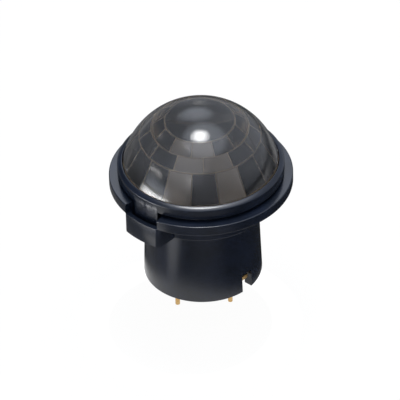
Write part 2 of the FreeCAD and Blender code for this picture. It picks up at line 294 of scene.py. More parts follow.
def outline(corners, steps=6):
    """Points of a closed outline; each corner is radius, height and, if rounded, the round, in mm."""
    points = []
    places = [Vector(corner[:2]) for corner in corners]
    for index, corner in enumerate(corners):
        here = places[index]
        if len(corner) < 3:
            points.append(here)
            continue
        before = (places[index - 1] - here).normalized()
        after = (places[(index + 1) % len(corners)] - here).normalized()
        half = before.angle(after) / 2
        reach = corner[2] / math.tan(half)
        centre = here + (before + after).normalized() * corner[2] / math.sin(half)
        start, end = here + before * reach - centre, here + after * reach - centre
        sweep = start.angle_signed(end)
        for step in range(steps + 1):
            points.append(centre + Matrix.Rotation(-sweep * step / steps, 2) @ start)
    return points


def from_bmesh(name, mesh):
    """Turn a bmesh into an object, with doubles merged and faces pointing outwards."""
    bmesh.ops.remove_doubles(mesh, verts=mesh.verts, dist=1e-7)
    bmesh.ops.recalc_face_normals(mesh, faces=mesh.faces)
    data = bpy.data.meshes.new(name)
    mesh.to_mesh(data)
    mesh.free()
    piece = bpy.data.objects.new(name, data)
    bpy.context.scene.collection.objects.link(piece)
    return piece


def revolved(name, points, steps=RIM_STEPS, start_deg=0.0, width_deg=360.0):
    """A closed outline spun about the lens axis, whole or as a capped sector."""
    mesh = bmesh.new()
    whole = width_deg >= 360.0
    columns = []
    for step in range(steps if whole else steps + 1):
        angle = math.radians(start_deg + width_deg * step / steps)
        columns.append([
            mesh.verts.new((point.x * MM * math.cos(angle), point.x * MM * math.sin(angle), point.y * MM))
            for point in points])
    for step in range(steps):
        first, second = columns[step], columns[(step + 1) % len(columns)]
        for row in range(len(points)):
            ahead = (row + 1) % len(points)
            mesh.faces.new((first[row], second[row], second[ahead], first[ahead]))
    if not whole:
        mesh.faces.new(columns[0])
        mesh.faces.new(columns[-1][::-1])
    return from_bmesh(name, mesh)


def upright_prism(name, points, bottom, top, turn_deg):
    """A flat outline in mm, raised between two heights and turned about the lens axis."""
    mesh = bmesh.new()
    turn = Matrix.Rotation(math.radians(turn_deg), 3, "Z")
    low = [mesh.verts.new(turn @ Vector((point.x, point.y, bottom)) * MM) for point in points]
    high = [mesh.verts.new(turn @ Vector((point.x, point.y, top)) * MM) for point in points]
    mesh.faces.new(low[::-1])
    mesh.faces.new(high)
    for index in range(len(points)):
        ahead = (index + 1) % len(points)
        mesh.faces.new((low[index], low[ahead], high[ahead], high[index]))
    return from_bmesh(name, mesh)


def plain_mesh(piece):
    """Swap a piece's mesh for the result of its modifiers, and remove them."""
    graph = bpy.context.evaluated_depsgraph_get()
    made = bpy.data.meshes.new_from_object(piece.evaluated_get(graph))
    piece.modifiers.clear()
    piece.data = made


def combine(piece, tools, operation):
    """Join or cut a piece with other solids, which are used up."""
    for tool in tools:
        change = piece.modifiers.new("Change", "BOOLEAN")
        change.operation, change.object, change.solver = operation, tool, "EXACT"
        plain_mesh(piece)
        bpy.data.objects.remove(tool)


def soften(piece, width_mm, angle_deg=35.0):
    """Break the sharp edges that the cuts left."""
    bevel = piece.modifiers.new("Break", "BEVEL")
    bevel.width, bevel.segments, bevel.limit_method = width_mm * MM, 2, "ANGLE"
    bevel.angle_limit = math.radians(angle_deg)
    plain_mesh(piece)


def shade(piece, angle_deg=30.0):
    """Smooth shading, with edges over this angle kept sharp."""
    piece.data.shade_smooth()
    mesh = bmesh.new()
    mesh.from_mesh(piece.data)
    for edge in mesh.edges:
        edge.smooth = len(edge.link_faces) == 2 and edge.calc_face_angle(0.0) < math.radians(angle_deg)
    mesh.to_mesh(piece.data)
    mesh.free()


def even_normals(piece):
    """Let the large faces rule the shading normals, so that flat and straight walls shade as such."""
    weighted = piece.modifiers.new("Even", "WEIGHTED_NORMAL")
    weighted.keep_sharp, weighted.weight = True, 100
    plain_mesh(piece)


def hand_over(piece, node, material):
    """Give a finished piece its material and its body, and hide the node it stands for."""
    piece.data.materials.clear()
    piece.data.materials.append(material)
    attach(piece, BODY)
    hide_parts(node)


# The lens, whose inner shape follows the lensmaker's rule

def facet_group():
    """Node group: the inner radius that one ring of facets gives along a direction from the centre."""
    tree = bpy.data.node_groups.new("Facet curve", "GeometryNodeTree")
    for name in ("Polar", "Azimuth", "Axis", "Count", "Turn", "Thickness", "Radius", "Index", "Focus Drop"):
        tree.interface.new_socket(name, in_out="INPUT", socket_type="NodeSocketFloat")
    for name in ("Inner Radius", "Side Gap"):
        tree.interface.new_socket(name, in_out="OUTPUT", socket_type="NodeSocketFloat")
    known = {socket.name: socket for socket in tree.nodes.new("NodeGroupInput").outputs}
    for result, operation, *terms in [
            # The facet that the ray falls on, counted from the front
            ("pitch", "DIVIDE", math.tau, "Count"),
            ("from front", "ADD", "Azimuth", math.pi / 2),
            ("place", "DIVIDE", "from front", "pitch"),
            ("shifted", "SUBTRACT", "place", "Turn"),
            ("nearest", "ROUND", "shifted"),
            ("aside", "SUBTRACT", "shifted", "nearest"),
            ("facet angle", "MULTIPLY", "aside", "pitch"),
            # Focal length from the facet to the sensing element, and the curve that gives it
            ("axis cosine", "COSINE", "Axis"),
            ("axis sine", "SINE", "Axis"),
            ("high", "MULTIPLY", "Radius", "axis cosine"),
            ("rise", "ADD", "high", "Focus Drop"),
            ("side", "MULTIPLY", "Radius", "axis sine"),
            ("rise squared", "MULTIPLY", "rise", "rise"),
            ("side squared", "MULTIPLY", "side", "side"),
            ("focal squared", "ADD", "rise squared", "side squared"),
            ("focal", "SQRT", "focal squared"),
            ("bend", "SUBTRACT", "Index", 1.0),
            ("bend by focal", "MULTIPLY", "bend", "focal"),
            ("power", "DIVIDE", 1.0, "bend by focal"),
            ("outer curve", "DIVIDE", 1.0, "Radius"),
            ("inner curve", "SUBTRACT", "power", "outer curve"),
            ("curve", "DIVIDE", 1.0, "inner curve"),
            # Where the ray meets that curve
            ("inside", "SUBTRACT", "Radius", "Thickness"),
            ("centre", "ADD", "inside", "curve"),
            ("ray cosine", "COSINE", "Polar"),
            ("ray sine", "SINE", "Polar"),
            ("turn cosine", "COSINE", "facet angle"),
            ("across", "MULTIPLY", "ray sine", "axis sine"),
            ("across turned", "MULTIPLY", "across", "turn cosine"),
            ("upwards", "MULTIPLY", "ray cosine", "axis cosine"),
            ("cosine", "ADD", "across turned", "upwards"),
            ("along", "MULTIPLY", "centre", "cosine"),
            ("along squared", "MULTIPLY", "along", "along"),
            ("centre squared", "MULTIPLY", "centre", "centre"),
            ("off squared", "SUBTRACT", "centre squared", "along squared"),
            ("curve squared", "MULTIPLY", "curve", "curve"),
            ("chord squared", "SUBTRACT", "curve squared", "off squared"),
            ("chord squared kept", "MAXIMUM", "chord squared", 0.0),
            ("chord", "SQRT", "chord squared kept"),
            ("inner radius", "SUBTRACT", "along", "chord"),
            # How far the ray is from the side of its facet, along the dome
            ("aside size", "ABSOLUTE", "aside"),
            ("from side", "SUBTRACT", 0.5, "aside size"),
            ("angle from side", "MULTIPLY", "from side", "pitch"),
            ("flat radius", "MULTIPLY", "Radius", "ray sine"),
            ("side gap", "MULTIPLY", "angle from side", "flat radius"),
    ]:
        terms = [known.get(term, term) for term in terms]
        known[result] = add(tree, "ShaderNodeMath", terms, operation=operation)
    add(tree, "NodeGroupOutput", (known["inner radius"], known["side gap"]))
    return tree


def lens_tree(zones, outer_rows, columns):
    """The dome's tree: one grid is bent into the outer skin, the rim and the faceted inside."""
    tree = bpy.data.node_groups.new("Faceted dome", "GeometryNodeTree")
    tree.is_modifier = True
    tree.interface.new_socket("Geometry", in_out="OUTPUT", socket_type="NodeSocketGeometry")
    sizes = ["Radius", "Wall", "Centre Height", "Seat Height", "Index", "Focus Height", "Seam Width"]
    for zone in zones:
        sizes += [f"{zone['name']} {size}" for size in ("End", "Axis", "Count", "Turn", "Thickness")]
    for name in sizes:
        tree.interface.new_socket(name, in_out="INPUT", socket_type="NodeSocketFloat")
    tree.interface.new_socket("Material", in_out="INPUT", socket_type="NodeSocketMaterial")
    known = {socket.name: socket for socket in tree.nodes.new("NodeGroupInput").outputs}

    spans = [(zone["name"], zone["rows"]) for zone in zones] + [("Hem", HEM_ROWS)]
    rows = outer_rows + 1 + sum(length + 1 for name, length in spans)
    grid = add(tree, "GeometryNodeMeshGrid", {
        "Size X": 1.0, "Size Y": 1.0, "Vertices X": columns + 1, "Vertices Y": rows})
    place = add(tree, "ShaderNodeSeparateXYZ", (add(tree, "GeometryNodeInputPosition"),))
    known.update({"across": place.outputs["X"], "down": place.outputs["Y"]})
    for result, operation, *terms in [
            ("turns", "ADD", "across", 0.5),
            ("Azimuth", "MULTIPLY", "turns", math.tau),
            ("depth", "ADD", "down", 0.5),
            ("place", "MULTIPLY", "depth", float(rows - 1)),
            ("row", "ROUND", "place"),
            ("drop", "SUBTRACT", "Seat Height", "Centre Height"),
            ("inner", "SUBTRACT", "Radius", "Wall"),
            ("Focus Drop", "SUBTRACT", "Centre Height", "Focus Height"),
            # Outer skin, from the top down to the seat
            ("skin cosine", "DIVIDE", "drop", "Radius"),
            ("skin end", "ARCCOSINE", "skin cosine"),
            ("share", "DIVIDE", "row", float(outer_rows)),
            ("polar", "MULTIPLY", "share", "skin end"),
            ("hem cosine", "DIVIDE", "drop", "inner"),
            ("hem end", "ARCCOSINE", "hem cosine"),
    ]:
        terms = [known.get(term, term) for term in terms]
        known[result] = add(tree, "ShaderNodeMath", terms, operation=operation)
    radius, seam_gap = known["Radius"], known["Radius"]

    # Inside, zone by zone from the seat back up to the top
    first = outer_rows + 1
    for number in range(len(spans) - 1, -1, -1):
        name, length = spans[number]
        start = f"{spans[number - 1][0]} End" if number else 0.0
        end = "hem end" if name == "Hem" else f"{name} End"
        for result, operation, *terms in [
                ("left", "SUBTRACT", float(first + length), "row"),
                ("share", "DIVIDE", "left", float(length)),
                ("span", "SUBTRACT", end, start),
                ("stretch", "MULTIPLY", "share", "span"),
                ("Polar", "ADD", "stretch", start),
                ("past", "MULTIPLY", "stretch", "Radius"),
                ("to go", "SUBTRACT", end, "Polar"),
                ("below", "MULTIPLY", "to go", "Radius"),
                ("reached", "GREATER_THAN", "row", first - 0.5),
        ]:
            terms = [known.get(term, term) for term in terms]
            known[result] = add(tree, "ShaderNodeMath", terms, operation=operation)
        bulge, gap = known["inner"], known["past"]
        if name != "Hem":
            wanted = {size: known[size] for size in ("Polar", "Azimuth", "Radius", "Index", "Focus Drop")}
            wanted.update({size: known[f"{name} {size}"] for size in ("Axis", "Count", "Turn", "Thickness")})
            facet = add(tree, "GeometryNodeGroup", wanted, node_tree=bpy.data.node_groups["Facet curve"])
            known.update({"facet": facet.outputs["Inner Radius"], "side gap": facet.outputs["Side Gap"]})
            for result, operation, *terms in [
                    ("bulge", "MINIMUM", "facet", "inner"),
                    ("up or down", "MINIMUM", "past", "below"),
                    ("edge", "MINIMUM", "up or down", "side gap"),
            ]:
                terms = [known.get(term, term) for term in terms]
                known[result] = add(tree, "ShaderNodeMath", terms, operation=operation)
            bulge, gap = known["bulge"], known["edge"] if number else known["below"]
        known["polar"] = add(tree, "GeometryNodeSwitch", (
            known["reached"], known["polar"], known["Polar"]), input_type="FLOAT")
        radius = add(tree, "GeometryNodeSwitch", (known["reached"], radius, bulge), input_type="FLOAT")
        seam_gap = add(tree, "GeometryNodeSwitch", (known["reached"], seam_gap, gap), input_type="FLOAT")
        first += length + 1

    known["radius"] = radius
    for result, operation, *terms in [
            ("polar sine", "SINE", "polar"),
            ("polar cosine", "COSINE", "polar"),
            ("flat", "MULTIPLY", "radius", "polar sine"),
            ("azimuth cosine", "COSINE", "Azimuth"),
            ("azimuth sine", "SINE", "Azimuth"),
            ("x", "MULTIPLY", "flat", "azimuth cosine"),
            ("y", "MULTIPLY", "flat", "azimuth sine"),
            ("high", "MULTIPLY", "radius", "polar cosine"),
            ("z", "ADD", "high", "Centre Height"),
    ]:
        terms = [known.get(term, term) for term in terms]
        known[result] = add(tree, "ShaderNodeMath", terms, operation=operation)
    # The seams are marked on the flat grid, because bending it moves the places they are worked out from
    seam = add(tree, "ShaderNodeMapRange", {
        "Value": seam_gap, "From Max": known["Seam Width"], "To Min": 1.0, "To Max": 0.0})
    marked = add(tree, "GeometryNodeStoreNamedAttribute", {
        "Geometry": grid, "Name": "seam", "Value": seam}, data_type="FLOAT", domain="POINT")
    spot = add(tree, "ShaderNodeCombineXYZ", (known["x"], known["y"], known["z"]))
    bent = add(tree, "GeometryNodeSetPosition", {"Geometry": marked, "Position": spot})
    closed = add(tree, "GeometryNodeMergeByDistance", {"Geometry": bent, "Distance": 2e-7})
    whole = add(tree, "GeometryNodeRealizeInstances", {"Geometry": closed})
    dressed = add(tree, "GeometryNodeSetMaterial", {"Geometry": whole, "Material": known["Material"]})
    add(tree, "NodeGroupOutput", (dressed,))
    return tree


# Settings that a user would change

COLOUR = {"subtype": "COLOR", "size": 4, "min": 0, "max": 1}
SHARE = {"subtype": "FACTOR", "min": 0, "max": 1}


class SENSOR_PG_lens(bpy.types.PropertyGroup):
    """Sizes and smoke of the dome lens."""
    radius: FloatProperty(
        name="Radius", description="Outer radius of the dome", default=7.66 * MM, unit="LENGTH", precision=5)
    wall: FloatProperty(
        name="Wall", description="Thickness at the hem, below the facets", default=0.55 * MM,
        unit="LENGTH", precision=5)
    seam_width: FloatProperty(
        name="Seam Width", description="Width of the rounded seam beside a facet's edge", default=0.12 * MM,
        unit="LENGTH", precision=5)
    centre_height: FloatProperty(
        name="Centre Height", description="Height of the dome's centre", default=DOME_CENTRE * MM,
        unit="LENGTH")
    focus_height: FloatProperty(
        name="Focus Height", description="Height of the sensing element", default=8.6 * MM, unit="LENGTH")
    index: FloatProperty(
        name="Refractive Index", description="Refractive index of polyethylene", default=1.53)
    smoke_surface: FloatVectorProperty(
        name="Surface Colour", description="Tint of the light that passes each face",
        default=linear("E8E6E4"), **COLOUR)
    smoke_tint: FloatVectorProperty(
        name="Smoke Colour", description="Tint in the depth",
        default=linear("8E8C8C"), **COLOUR)
    smoke_density: FloatProperty(
        name="Smoke Density", description="How fast the dye darkens, per metre", default=700.0, min=0)
    smoke_roughness: FloatProperty(
        name="Roughness", description="Roughness of the moulded faces", default=0.1, **SHARE)
    haze: FloatProperty(
        name="Haze", description="Share of light that a face scatters", default=0.065, **SHARE)
    # Hem Haze and Hem Fade paint shade: they cut the haze towards the hem, where the ring shades the dome
    hem_haze_painted_shade: FloatProperty(
        name="Hem Haze", description="Share of light that a face scatters at the hem", default=0.004, **SHARE)
    hem_fade: FloatProperty(
        name="Hem Fade", description="Height over which the haze reaches its full share", default=2.3 * MM,
        unit="LENGTH", precision=5)
    haze_colour: FloatVectorProperty(
        name="Haze Colour", description="Colour of the scattered light",
        default=linear("B8BABE"), **COLOUR)
    # Seam Haze and Seam Colour are partly a painted highlight: a paler scatter on the seams for the light
    # that the rounded facet edges catch
    seam_haze_and_glint: FloatProperty(
        name="Seam Haze", description="Extra scatter on the seams between facets", default=0.75, **SHARE)
    seam_and_glint_colour: FloatVectorProperty(
        name="Seam Colour", description="Colour of the seams between facets",
        default=linear("E6CFAE"), **COLOUR)


class SENSOR_PG_body(bpy.types.PropertyGroup):
    """Sizes and plastic of the housing and the lens ring."""
    flange_radius: FloatProperty(
        name="Flange Radius", description="Outer radius of the flange", default=8.7 * MM, unit="LENGTH")
    flange_round: FloatProperty(
        name="Flange Round", description="Round of the flange's upper edge", default=0.09 * MM, unit="LENGTH")
    ring_round: FloatProperty(
        name="Ring Round", description="Round of the ring's upper face", default=0.88 * MM, unit="LENGTH",
        min=0.1 * MM, max=0.9 * MM)
    edge_break: FloatProperty(
        name="Edge Break", description="Chamfer on the cut edges", default=0.05 * MM,
        unit="LENGTH", precision=5)
    plastic_dark: FloatVectorProperty(
        name="Dark Tone", description="Darker tone of the plastic",
        default=linear("121822"), **COLOUR)
    plastic_light: FloatVectorProperty(
        name="Light Tone", description="Lighter tone of the plastic",
        default=linear("171E2C"), **COLOUR)
    ring_roughness: FloatProperty(
        name="Ring Roughness", description="Roughness of the polished ring", default=0.23,
        subtype="FACTOR", min=0.03, max=0.9)
    housing_roughness: FloatProperty(
        name="Housing Roughness", description="Roughness of the satin housing", default=0.2,
        subtype="FACTOR", min=0.03, max=0.9)


class SENSOR_PG_stage(bpy.types.PropertyGroup):
    """The camera, the softbox and the levels of the light tent."""
    camera_azimuth: FloatProperty(
        name="Camera Azimuth", description="Turn of the camera from -Y", default=math.radians(-2.7),
        subtype="ANGLE")
    camera_elevation: FloatProperty(
        name="Camera Elevation", description="Camera angle above the floor", default=math.radians(37.7),
        subtype="ANGLE")
    camera_roll: FloatProperty(
        name="Camera Roll", description="Lean of the picture", default=math.radians(1.37), subtype="ANGLE")
    camera_distance: FloatProperty(
        name="Camera Distance", description="From the camera to its target", default=435 * MM, unit="LENGTH")
    overhead_power: FloatProperty(
        name="Overhead Power", description="Power of the softbox above", default=0.30, unit="POWER")
    glow_level: FloatProperty(
        name="Glow Level", description="Light level of the tent's ceiling around the softbox",
        default=2.6, min=0)
    left_level: FloatProperty(
        name="Left Level", description="Light level of the panel at the left", default=19.0, min=0)
    front_level: FloatProperty(
        name="Front Level", description="Light level of the soft patch above the camera", default=0.7, min=0)
    back_level: FloatProperty(
        name="Back Level", description="Light level of the soft patch on the back wall", default=2.4, min=0)


# Operators

class SENSOR_OT_lens(bpy.types.Operator):
    """Build the faceted dome and give it smoked polyethylene"""
    bl_idname = "sensor.lens"
    bl_label = "Dome Lens"

    def execute(self, context):
        settings = context.scene.sensor_lens
        facet_group()
        tree = lens_tree(LENS_ZONES, SKIN_ROWS, DOME_COLUMNS)
        material = smoked_polyethylene(settings)
        piece = bpy.data.objects.new("dome_lens", bpy.data.meshes.new("dome_lens"))
        context.scene.collection.objects.link(piece)
        dome = piece.modifiers.new("Faceted dome", "NODES")
        dome.node_group = tree
        wanted = {
            "Radius": settings.radius, "Wall": settings.wall, "Index": settings.index,
            "Centre Height": settings.centre_height, "Focus Height": settings.focus_height,
            "Seat Height": SEAT_HEIGHT * MM, "Seam Width": settings.seam_width, "Material": material}
        for zone in LENS_ZONES:
            wanted[zone["name"] + " End"] = math.radians(zone["end"])
            wanted[zone["name"] + " Axis"] = math.radians(zone["axis"])
            wanted[zone["name"] + " Count"] = float(zone["count"])
            wanted[zone["name"] + " Turn"] = zone["turn"]
            wanted[zone["name"] + " Thickness"] = zone["thickness"] * MM
        for item in tree.interface.items_tree:
            if item.in_out == "INPUT":
                dome[item.identifier] = wanted[item.name]
        plain_mesh(piece)
        if not piece.data.polygons:
            raise RuntimeError("the dome's tree made no mesh")
        mesh = bmesh.new()
        mesh.from_mesh(piece.data)
        bmesh.ops.recalc_face_normals(mesh, faces=mesh.faces)
        mesh.to_mesh(piece.data)
        mesh.free()
        shade(piece, angle_deg=8.0)
        hand_over(piece, "lens", material)
        return {"FINISHED"}


class SENSOR_OT_ring(bpy.types.Operator):
    """Build the collar that holds the dome, with its two snap legs"""
    bl_idname = "sensor.ring"
    bl_label = "Lens Ring"

    def execute(self, context):
        settings = context.scene.sensor_body
        ring = revolved("collar", outline([
            (self.bore(SEAT_HEIGHT), RING_BOTTOM), (RING_RADIUS, RING_BOTTOM, 0.08),
            (RING_RADIUS, 12.654, 0.11), (7.70, 12.834, settings.ring_round / MM),
            (self.bore(RING_TOP) + 0.02, RING_TOP),
            *[(self.bore(height), height) for height in (12.65, 12.4, 12.15, SEAT_HEIGHT)]]))
        leg = outline([
            (RING_RADIUS, 12.1), (7.7, 12.1), (7.66, 11.85), (LEG_INNER, RING_BOTTOM), (LEG_INNER, BARB_TOP),
            (BARB_INNER, BARB_TOP), (BARB_INNER, BARB_BOTTOM), (LEG_INNER, LEG_BOTTOM),
            (RING_RADIUS, LEG_BOTTOM)])
        legs = [revolved("leg", leg, LATCH_STEPS, angle - LATCH_DEG / 2, LATCH_DEG) for angle in LATCH_ANGLES]
        combine(ring, legs, "UNION")
        soften(ring, 0.03, 50.0)
        shade(ring)
        even_normals(ring)
        hand_over(ring, "lens_ring", moulded_black_plastic(
            "Black ABS, moulded ring", settings, settings.ring_roughness))
        return {"FINISHED"}

    @staticmethod
    def bore(height):
        """The ring's inner radius at a height, which follows the dome with a small clearance."""
        return math.sqrt(RING_SPHERE ** 2 - (height - DOME_CENTRE) ** 2)


class SENSOR_OT_housing(bpy.types.Operator):
    """Build the stepped barrel with its latch pockets and key slot"""
    bl_idname = "sensor.housing"
    bl_label = "Housing"

    def execute(self, context):
        settings = context.scene.sensor_body
        flange = settings.flange_radius / MM
        body = revolved("barrel", outline([
            (5.66, 0.0, 0.12), (5.372, SKIRT_HEIGHT, 0.15), (BARREL_RADIUS, SKIRT_HEIGHT, 0.08),
            (BARREL_RADIUS, FLANGE_BOTTOM, 0.12), (flange, FLANGE_BOTTOM, 0.08),
            (flange, FLANGE_TOP, settings.flange_round / MM), (UPSTAND_RADIUS, FLANGE_TOP, 0.08),
            (UPSTAND_RADIUS, SEAT_HEIGHT), (6.91, SEAT_HEIGHT), (4.60, BOWL_FLOOR), (CAN_BORE, BOWL_FLOOR),
            (CAN_BORE, HEADER_ROOM), (HEADER_BORE, HEADER_ROOM), (HEADER_BORE, 0.0, 0.08)]))
        for angle in LATCH_ANGLES:
            combine(body, [self.pocket_wall(flange, angle)], "UNION")
            combine(body, [self.pocket_room(flange, angle), self.notch(angle)], "DIFFERENCE")
            combine(body, [self.catch(angle)], "UNION")
        slot = [Vector((x, y)) for x, y in (
            (SLOT_START, -SLOT_HALF), (BEYOND, -SLOT_HALF), (BEYOND, SLOT_HALF), (SLOT_START, SLOT_HALF))]
        combine(body, [upright_prism("slot", slot, -1.0, SLOT_TOP, SLOT_ANGLE)], "DIFFERENCE")
        soften(body, settings.edge_break / MM)
        shade(body)
        even_normals(body)
        hand_over(body, "housing", moulded_black_plastic(
            "Black ABS, moulded housing", settings, settings.housing_roughness))
        return {"FINISHED"}

    @staticmethod
    def arc(radius, half, share=1.0, steps=8):
        """Points on a circle about the lens axis, across a share of the given half width to each side."""
        lean = math.asin(half / radius) * share
        return [Vector((radius * math.cos(lean * step / steps), radius * math.sin(lean * step / steps)))
                for step in range(-steps, steps + 1)]

    def pocket_wall(self, flange, angle):
        """The guard wall below the flange, rounded at its two outer corners."""
        half, inner, bottom, top = 2.2, 5.9, 8.30, 10.5
        edge = math.sqrt(flange ** 2 - half ** 2)
        side = [Vector((inner, half)), Vector((edge - 0.34, half)), Vector((edge - 0.12, half - 0.09))]
        mirrored = [Vector((point.x, -point.y)) for point in side]
        points = mirrored + self.arc(flange, half, share=0.86, steps=10) + side[::-1]
        return upright_prism("wall", points, bottom, top, angle)

    def pocket_room(self, flange, angle):
        """The room between the guard wall and the barrel."""
        half, wall, bottom, top = 1.72, 0.48, 7.0, 10.6
        points = self.arc(flange - wall, half) + self.arc(BARREL_RADIUS, half)[::-1]
        return upright_prism("room", points, bottom, top, angle)

    @staticmethod
    def notch(angle):
        """The gap in the flange that the ring's leg passes through."""
        inner, top = 7.3, 13.0
        points = [Vector(place) for place in (
            (inner, FLANGE_BOTTOM), (BEYOND, FLANGE_BOTTOM), (BEYOND, top), (inner, top))]
        return revolved("notch", points, LATCH_STEPS, angle - NOTCH_DEG / 2, NOTCH_DEG)

    @staticmethod
    def catch(angle):
        """The rib that the leg's barb hooks under."""
        inner, outer, bottom, top = 6.4, 7.3, 9.37, 10.45
        points = [Vector(place) for place in ((inner, bottom), (outer, bottom), (outer, top), (inner, top))]
        return revolved("catch", points, LATCH_STEPS, angle - LATCH_DEG / 2, LATCH_DEG)


class SENSOR_OT_detector(bpy.types.Operator):
    """Give the header, leads, can and circuit their finishes"""
    bl_idname = "sensor.detector"
    bl_label = "Detector Finishes"

    def execute(self, context):
        ceramic = plain_solid("Capacitor ceramic, fired", 0.2, "8A6B4A", "9C7B58", 0.45, 0.05)
        epoxy = plain_solid("Moulding epoxy, black", 0.15, "1B1B1C", "242425", 0.6, 0.06)
        finishes = {
            ("header", "supply_lead", "output_lead", "ground_lead"): gold_plate(),
            ("detector_cap",): nickel_plate(),
            ("infrared_filter",): coated_silicon(),
            ("filter_bond",): plain_solid("Epoxy adhesive, cured", 0.4, "1A1918", "252321", 0.5, 0.2),
            ("sensing_element",): plain_solid(
                "Lead-titanate ceramic, lapped", 0.1, "837B6C", "91897A", 0.4, 0.04),
            ("element_carrier",): plain_solid("Alumina, fired", 0.08, "DAD7CD", "E8E5DC", 0.5, 0.05),
            ("amplifier_chip", "bias_resistor"): epoxy,
            ("supply_capacitor", "output_capacitor"): ceramic,
            ("circuit_board",): plain_solid(
                "Glass-fibre laminate, masked", 0.25, "1C4A2A", "235634", 0.4, 0.2),
            ("board_spacer",): plain_solid(
                "Liquid-crystal polymer, moulded", 0.6, "C6C2B4", "D2CEC1", 0.5, 0.15),
            ("supply_seal", "output_seal"): seal_glass(),
        }
        for names, material in finishes.items():
            for name in names:
                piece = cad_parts[name]
                piece.data.materials.clear()
                piece.data.materials.append(material)
        return {"FINISHED"}


class SENSOR_OT_stage(bpy.types.Operator):
    """Set the floor, the light tent, the lamps and the camera"""
    bl_idname = "sensor.stage"
    bl_label = "Stage"

    def execute(self, context):
        settings = context.scene.sensor_stage
        self.floor(settings)
        self.tent(context.scene, settings)
        # Nested softboxes are brightest in the middle; each hangs at its own distance, because lamps
        # in one place light the sensor as one lamp only
        sizes = (0.044, 0.056, 0.068, 0.082, 0.100)
        for size in sizes:
            share = size ** 2 / sum(other ** 2 for other in sizes)
            self.panel(OVERHEAD * (1 + size), size, settings.overhead_power * share)
        self.camera(context.scene, settings)
        context.scene.view_settings.view_transform = "Standard"
        return {"FINISHED"}

    @staticmethod
    def floor(settings):
        """White paper that the lead tips stand on, white to the camera and shadowed by the object.

        The object mirrors it as dark, with the pale patches that the photographed object mirrors, and with
        the near patch halved right under the object, a painted shadow.
        """
        mesh = bmesh.new()
        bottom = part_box("ground_lead")[0].z
        bmesh.ops.create_grid(
            mesh, x_segments=1, y_segments=1, size=FLOOR_HALF, matrix=Matrix.Translation((0, 0, bottom)))
        paper = from_bmesh("paper_floor", mesh)
        material, tree = new_material("White backdrop paper")
        path = add(tree, "ShaderNodeLightPath")
        place = add(tree, "ShaderNodeTexCoord").outputs["Object"]
        spot = add(tree, "ShaderNodeSeparateXYZ", (place,))
        heading = add(tree, "ShaderNodeVectorMath", (place,), operation="NORMALIZE")
        known = {"across": spot.outputs["X"], "back": spot.outputs["Y"]}
        # Distances from the middles of the patches, which are given in millimetres
        for name, x, y in [
                ("reach", -1.5, -3.0),
                ("to corner", 38.0, 42.0),
                ("to front", 0.0, -33.0),
                ("to right", 120.0, -10.0),
        ]:
            known[name] = add(tree, "ShaderNodeVectorMath", (
                place, (x * MM, y * MM, bottom)), operation="DISTANCE").outputs["Value"]
        # Levels that change from one to another over a stretch in millimetres
        for name, source, start, end, first, last, blend in [
                ("near", "reach", 10.3, 12.6, 1.25, 0.0, "LINEAR"),
                # under: halves the near patch right under the object, a painted shadow of the object on the
                # paper
                ("under", "reach", 6.0, 9.0, 0.5, 1.0, "LINEAR"),
                ("far", "reach", 9.5, 11.0, 0.0, 1.7, "LINEAR"),
                ("far fade", "reach", 20.0, 26.0, 1.0, 0.55, "LINEAR"),
                ("left", "reach", 45.0, 80.0, 0.0, settings.left_level, "SMOOTHSTEP"),
                ("left fade", "reach", 85.0, 300.0, 1.0, 0.12, "SMOOTHSTEP"),
                ("corner", "to corner", 10.0, 24.0, 0.35, 0.0, "LINEAR"),
                ("before", "to front", 10.0, 22.0, 0.2, 0.0, "LINEAR"),
                ("right", "to right", 30.0, 75.0, 0.55, 0.0, "LINEAR"),
                ("behind", "back", 100.0, 200.0, 0.0, 0.35, "LINEAR"),
                ("beside", "across", -8.0, -13.0, 0.0, 0.18, "LINEAR"),
        ]:
            known[name] = add(tree, "ShaderNodeMapRange", {
                "Value": known[source], "From Min": start * MM, "From Max": end * MM,
                "To Min": first, "To Max": last}, interpolation_type=blend)
        # Two of them show in one direction only
        for name, toward, least in [
                ("far aim", (-0.83, -0.56, 0.0), 0.93),
                ("left aim", LEFTWARD, LEFT_EDGE),
        ]:
            fit = add(tree, "ShaderNodeVectorMath", (heading, toward), operation="DOT_PRODUCT")
            known[name] = add(tree, "ShaderNodeMapRange", {
                "Value": fit.outputs["Value"], "From Min": least}, interpolation_type="SMOOTHSTEP")
        for result, *terms in [
                ("pad", "near", "under"),
                ("far band", "far", "far fade"),
                ("far patch", "far band", "far aim"),
                ("left band", "left", "left fade"),
                ("left patch", "left band", "left aim"),
        ]:
            terms = [known[term] for term in terms]
            known[result] = add(tree, "ShaderNodeMath", terms, operation="MULTIPLY")
        level = path.outputs["Is Camera Ray"]
        for patch in ("pad", "far patch", "left patch", "corner", "before", "right", "behind", "beside"):
            level = add(tree, "ShaderNodeMath", (level, known[patch]), operation="MAXIMUM")
        seen = path.outputs["Is Camera Ray"]
        for ray in ("Is Transmission Ray", "Is Glossy Ray"):
            seen = add(tree, "ShaderNodeMath", (seen, path.outputs[ray]), operation="MAXIMUM")
        share = add(tree, "ShaderNodeMath", (seen, 0.97), operation="MULTIPLY")
        diffuse = add(tree, "ShaderNodeBsdfDiffuse", {"Color": linear("F4F4F4")})
        white = add(tree, "ShaderNodeEmission", {"Color": linear("FFFFFF"), "Strength": level})
        paper_side = add(tree, "ShaderNodeMixShader", (share, diffuse, white))
        below = add(tree, "ShaderNodeNewGeometry").outputs["Backfacing"]
        surface(tree, add(tree, "ShaderNodeMixShader", (
            below, paper_side, add(tree, "ShaderNodeBsdfTransparent"))))
        paper.data.materials.append(material)

